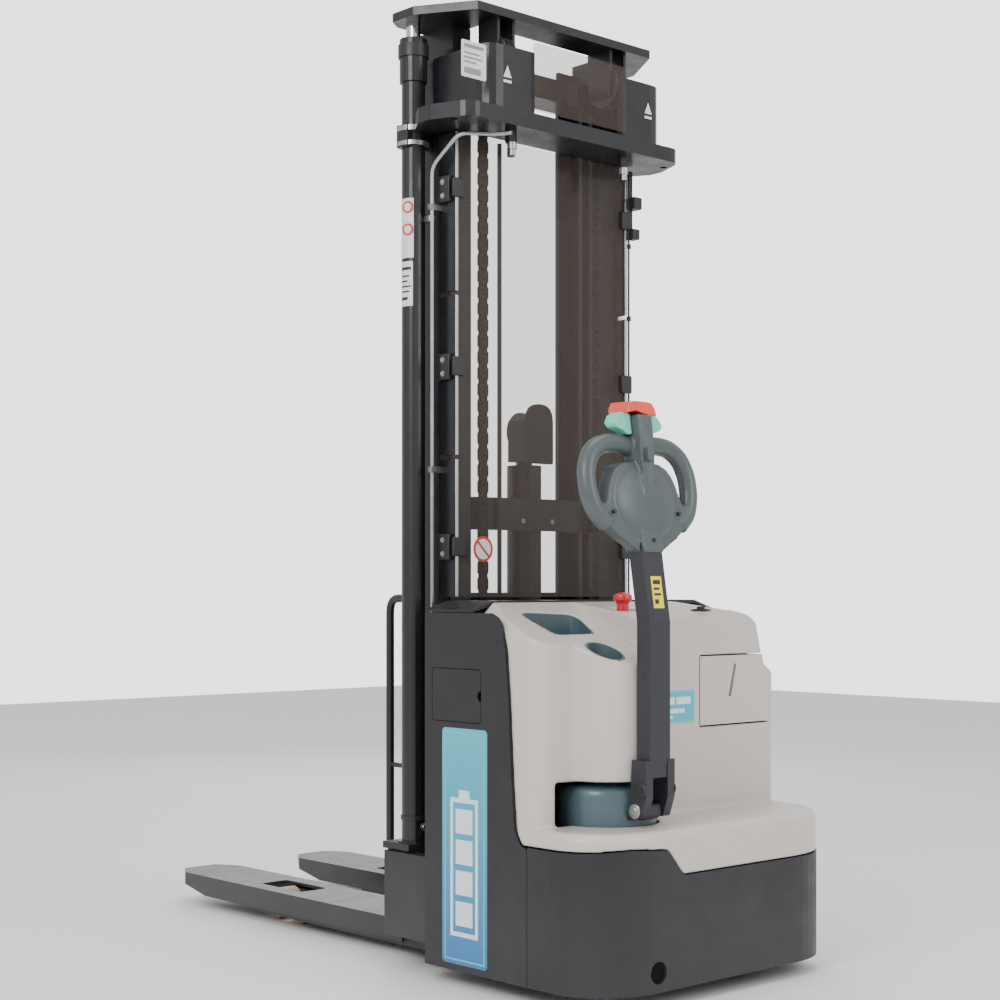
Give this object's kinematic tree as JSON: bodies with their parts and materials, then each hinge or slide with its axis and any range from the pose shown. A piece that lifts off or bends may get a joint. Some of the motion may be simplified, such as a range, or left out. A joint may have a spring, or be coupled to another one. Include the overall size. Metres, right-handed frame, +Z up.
{
  "type": "walkie stacker",
  "caption": "Pedestrian pallet stacker with a three stage mast, forks over support legs, steered by a tiller with hand loops, under a moulded hood.",
  "frame": {"origin": "bottom centre of the bounding box, on the floor, halfway between the rear face and the fork tips", "axes": "+Z up, +Y towards the fork tips, +X to the right seen from the operator behind the tiller"},
  "size_m": [0.8, 1.812, 2.222],
  "materials": {
    "charcoal_cover": "fine grained matte",
    "beige_cover": "satin gloss",
    "frame_paint": "semi matte powder coat",
    "mast_paint": "semi matte powder coat",
    "arm_paint": "semi matte powder coat",
    "black_plastic": "matte",
    "grip_plastic": "satin",
    "insert_plastic": "satin",
    "drum_paint": "satin",
    "teal_plastic": "satin gloss",
    "red_plastic": "satin gloss",
    "stop_red": "gloss",
    "stop_yellow": "matte",
    "chromed_rod": "polished",
    "zinc_steel": "zinc plated",
    "sheave_steel": "oiled",
    "chain_steel": "oiled",
    "clear_sheet": "clear, smoked",
    "battery_case": "satin",
    "pump_paint": "satin",
    "drive_rubber": "matte",
    "load_polyurethane": "satin"
  },
  "bodies": {
    "chassis": {"base_frame": "frame_paint", "leg_left": "frame_paint", "leg_right": "frame_paint", "rear_bumper": "charcoal_cover", "side_cover_left": "charcoal_cover", "side_cover_right": "charcoal_cover", "hood": "beige_cover", "hood_panel": "beige_cover", "console_insert": "insert_plastic", "top_cover": "black_plastic", "battery_pack": "battery_case", "pump_unit": "pump_paint", "outer_mast_left": "mast_paint", "outer_mast_right": "mast_paint", "crossbeam": "mast_paint", "crossbeam_window": "clear_sheet", "cylinder_left": "mast_paint", "cylinder_right": "mast_paint", "mast_guard": "clear_sheet", "hydraulic_pipe": "zinc_steel"},
    "middle_mast": {"top_plate": "mast_paint", "middle_mast_left": "mast_paint", "middle_mast_right": "mast_paint", "rod_left": "chromed_rod", "rod_right": "chromed_rod"},
    "inner_mast": {"inner_mast_left": "mast_paint", "inner_mast_right": "mast_paint", "mid_crossbar": "mast_paint", "free_lift_cylinder": "mast_paint", "lift_chain_left": "chain_steel", "lift_chain_right": "chain_steel"},
    "free_lift_head": {"free_lift_rod": "mast_paint"},
    "free_lift_sheave": {"free_lift_sheave": "sheave_steel"},
    "carriage": {"carriage_frame": "mast_paint", "fork_left": "mast_paint", "fork_right": "mast_paint", "bow_left": "mast_paint", "bow_right": "mast_paint"},
    "sheave_left": {"sheave_left": "sheave_steel"},
    "sheave_right": {"sheave_right": "sheave_steel"},
    "drive_unit": {"motor_cover": "drum_paint", "drive_gearbox": "pump_paint", "tiller_bracket": "arm_paint", "pivot_pin": "chromed_rod"},
    "drive_wheel": {"drive_wheel": "drive_rubber"},
    "tiller": {"tiller_arm": "arm_paint", "tiller_head": "grip_plastic"},
    "throttle": {"throttle_butterfly": "teal_plastic"},
    "belly_button": {"belly_button": "red_plastic"},
    "lift_rocker": {"lift_rocker": "black_plastic"},
    "e_stop_button": {"e_stop_button": "stop_red"},
    "key_switch": {"key_switch": "black_plastic"},
    "side_door": {"side_door": "charcoal_cover"},
    "storage_door": {"storage_door": "beige_cover"},
    "caster_fork": {"caster_fork": "zinc_steel"},
    "caster_wheel": {"caster_wheel": "drive_rubber"},
    "load_wheel_left_1": {"load_wheel_left_1": "load_polyurethane"},
    "load_wheel_left_2": {"load_wheel_left_2": "load_polyurethane"},
    "load_wheel_right_1": {"load_wheel_right_1": "load_polyurethane"},
    "load_wheel_right_2": {"load_wheel_right_2": "load_polyurethane"}
  },
  "joints": [
    {"name": "middle_lift", "type": "slide", "parent": "chassis", "child": "middle_mast", "axis": [0, 0, 1], "range_m": [0, 1.15]},
    {"name": "inner_lift", "type": "slide", "parent": "middle_mast", "child": "inner_mast", "axis": [0, 0, 1], "range_m": [0, 1.15], "deforming": ["lift_chain_left", "lift_chain_right"]},
    {"name": "carriage_lift", "type": "slide", "parent": "inner_mast", "child": "carriage", "axis": [0, 0, 1], "range_m": [0, 1.3]},
    {"name": "free_lift", "type": "slide", "parent": "inner_mast", "child": "free_lift_head", "axis": [0, 0, 1], "range_m": [0, 0.65]},
    {"name": "free_lift_sheave_spin", "type": "hinge", "parent": "free_lift_head", "child": "free_lift_sheave", "pos_m": [0, -0.247, 1.265], "axis": [1, 0, 0], "continuous": true},
    {"name": "sheave_left_spin", "type": "hinge", "parent": "middle_mast", "child": "sheave_left", "pos_m": [-0.186, -0.353, 2.118], "axis": [1, 0, 0], "continuous": true},
    {"name": "sheave_right_spin", "type": "hinge", "parent": "middle_mast", "child": "sheave_right", "pos_m": [0.186, -0.353, 2.118], "axis": [1, 0, 0], "continuous": true},
    {"name": "steer", "type": "hinge", "parent": "chassis", "child": "drive_unit", "pos_m": [-0.175, -0.7, 0.3], "axis": [0, 0, 1], "range_deg": [-55, 55]},
    {"name": "drive_wheel_spin", "type": "hinge", "parent": "drive_unit", "child": "drive_wheel", "pos_m": [-0.175, -0.7, 0.11], "axis": [1, 0, 0], "continuous": true},
    {"name": "tiller_tilt", "type": "hinge", "parent": "drive_unit", "child": "tiller", "pos_m": [-0.175, -0.83, 0.407], "axis": [1, 0, 0], "range_deg": [0, 75], "stiffness_Nm_per_rad": 40, "springref_deg": -17.19},
    {"name": "throttle_turn", "type": "hinge", "parent": "tiller", "child": "throttle", "pos_m": [-0.175, -0.77398, 1.238], "axis": [1, 0, 0], "range_deg": [-20, 20], "stiffness_Nm_per_rad": 0.8},
    {"name": "belly_push", "type": "slide", "parent": "tiller", "child": "belly_button", "axis": [0, -0.1564, -0.9877], "range_m": [0, 0.003], "stiffness_N_per_m": 1200, "springref_m": -0.002},
    {"name": "rocker_push", "type": "slide", "parent": "tiller", "child": "lift_rocker", "axis": [0, 1, 0], "range_m": [0, 0.003], "stiffness_N_per_m": 600, "springref_m": -0.001},
    {"name": "e_stop_push", "type": "slide", "parent": "chassis", "child": "e_stop_button", "axis": [0, 0, -1], "range_m": [0, 0.006]},
    {"name": "key_turn", "type": "hinge", "parent": "chassis", "child": "key_switch", "pos_m": [0.16, -0.68, 0.829], "axis": [0, 0, -1], "range_deg": [0, 90]},
    {"name": "side_door_turn", "type": "hinge", "parent": "chassis", "child": "side_door", "pos_m": [-0.4, -0.3745, 0.645], "axis": [0, 0, -1], "range_deg": [0, 100]},
    {"name": "storage_door_turn", "type": "hinge", "parent": "chassis", "child": "storage_door", "pos_m": [0.1135, -0.7179, 0.645], "axis": [0, 0, -1], "range_deg": [0, 100]},
    {"name": "caster_swivel", "type": "hinge", "parent": "chassis", "child": "caster_fork", "pos_m": [0.23, -0.701, 0.13], "axis": [0, 0, 1], "continuous": true},
    {"name": "caster_wheel_spin", "type": "hinge", "parent": "caster_fork", "child": "caster_wheel", "pos_m": [0.23, -0.733, 0.05], "axis": [1, 0, 0], "continuous": true},
    {"name": "load_wheel_left_1_spin", "type": "hinge", "parent": "chassis", "child": "load_wheel_left_1", "pos_m": [-0.195, 0.379, 0.04], "axis": [1, 0, 0], "continuous": true},
    {"name": "load_wheel_left_2_spin", "type": "hinge", "parent": "chassis", "child": "load_wheel_left_2", "pos_m": [-0.195, 0.484, 0.04], "axis": [1, 0, 0], "continuous": true},
    {"name": "load_wheel_right_1_spin", "type": "hinge", "parent": "chassis", "child": "load_wheel_right_1", "pos_m": [0.195, 0.379, 0.04], "axis": [1, 0, 0], "continuous": true},
    {"name": "load_wheel_right_2_spin", "type": "hinge", "parent": "chassis", "child": "load_wheel_right_2", "pos_m": [0.195, 0.484, 0.04], "axis": [1, 0, 0], "continuous": true}
  ],
  "couplings": [
    {"joint": "inner_lift", "follows": "middle_lift", "ratio": 1},
    {"joint": "sheave_left_spin", "follows": "middle_lift", "rad_per_m": 20.58},
    {"joint": "sheave_right_spin", "follows": "middle_lift", "rad_per_m": 20.58},
    {"joint": "free_lift", "follows": "carriage_lift", "ratio": 0.5},
    {"joint": "free_lift_sheave_spin", "follows": "carriage_lift", "rad_per_m": 10.4}
  ]
}
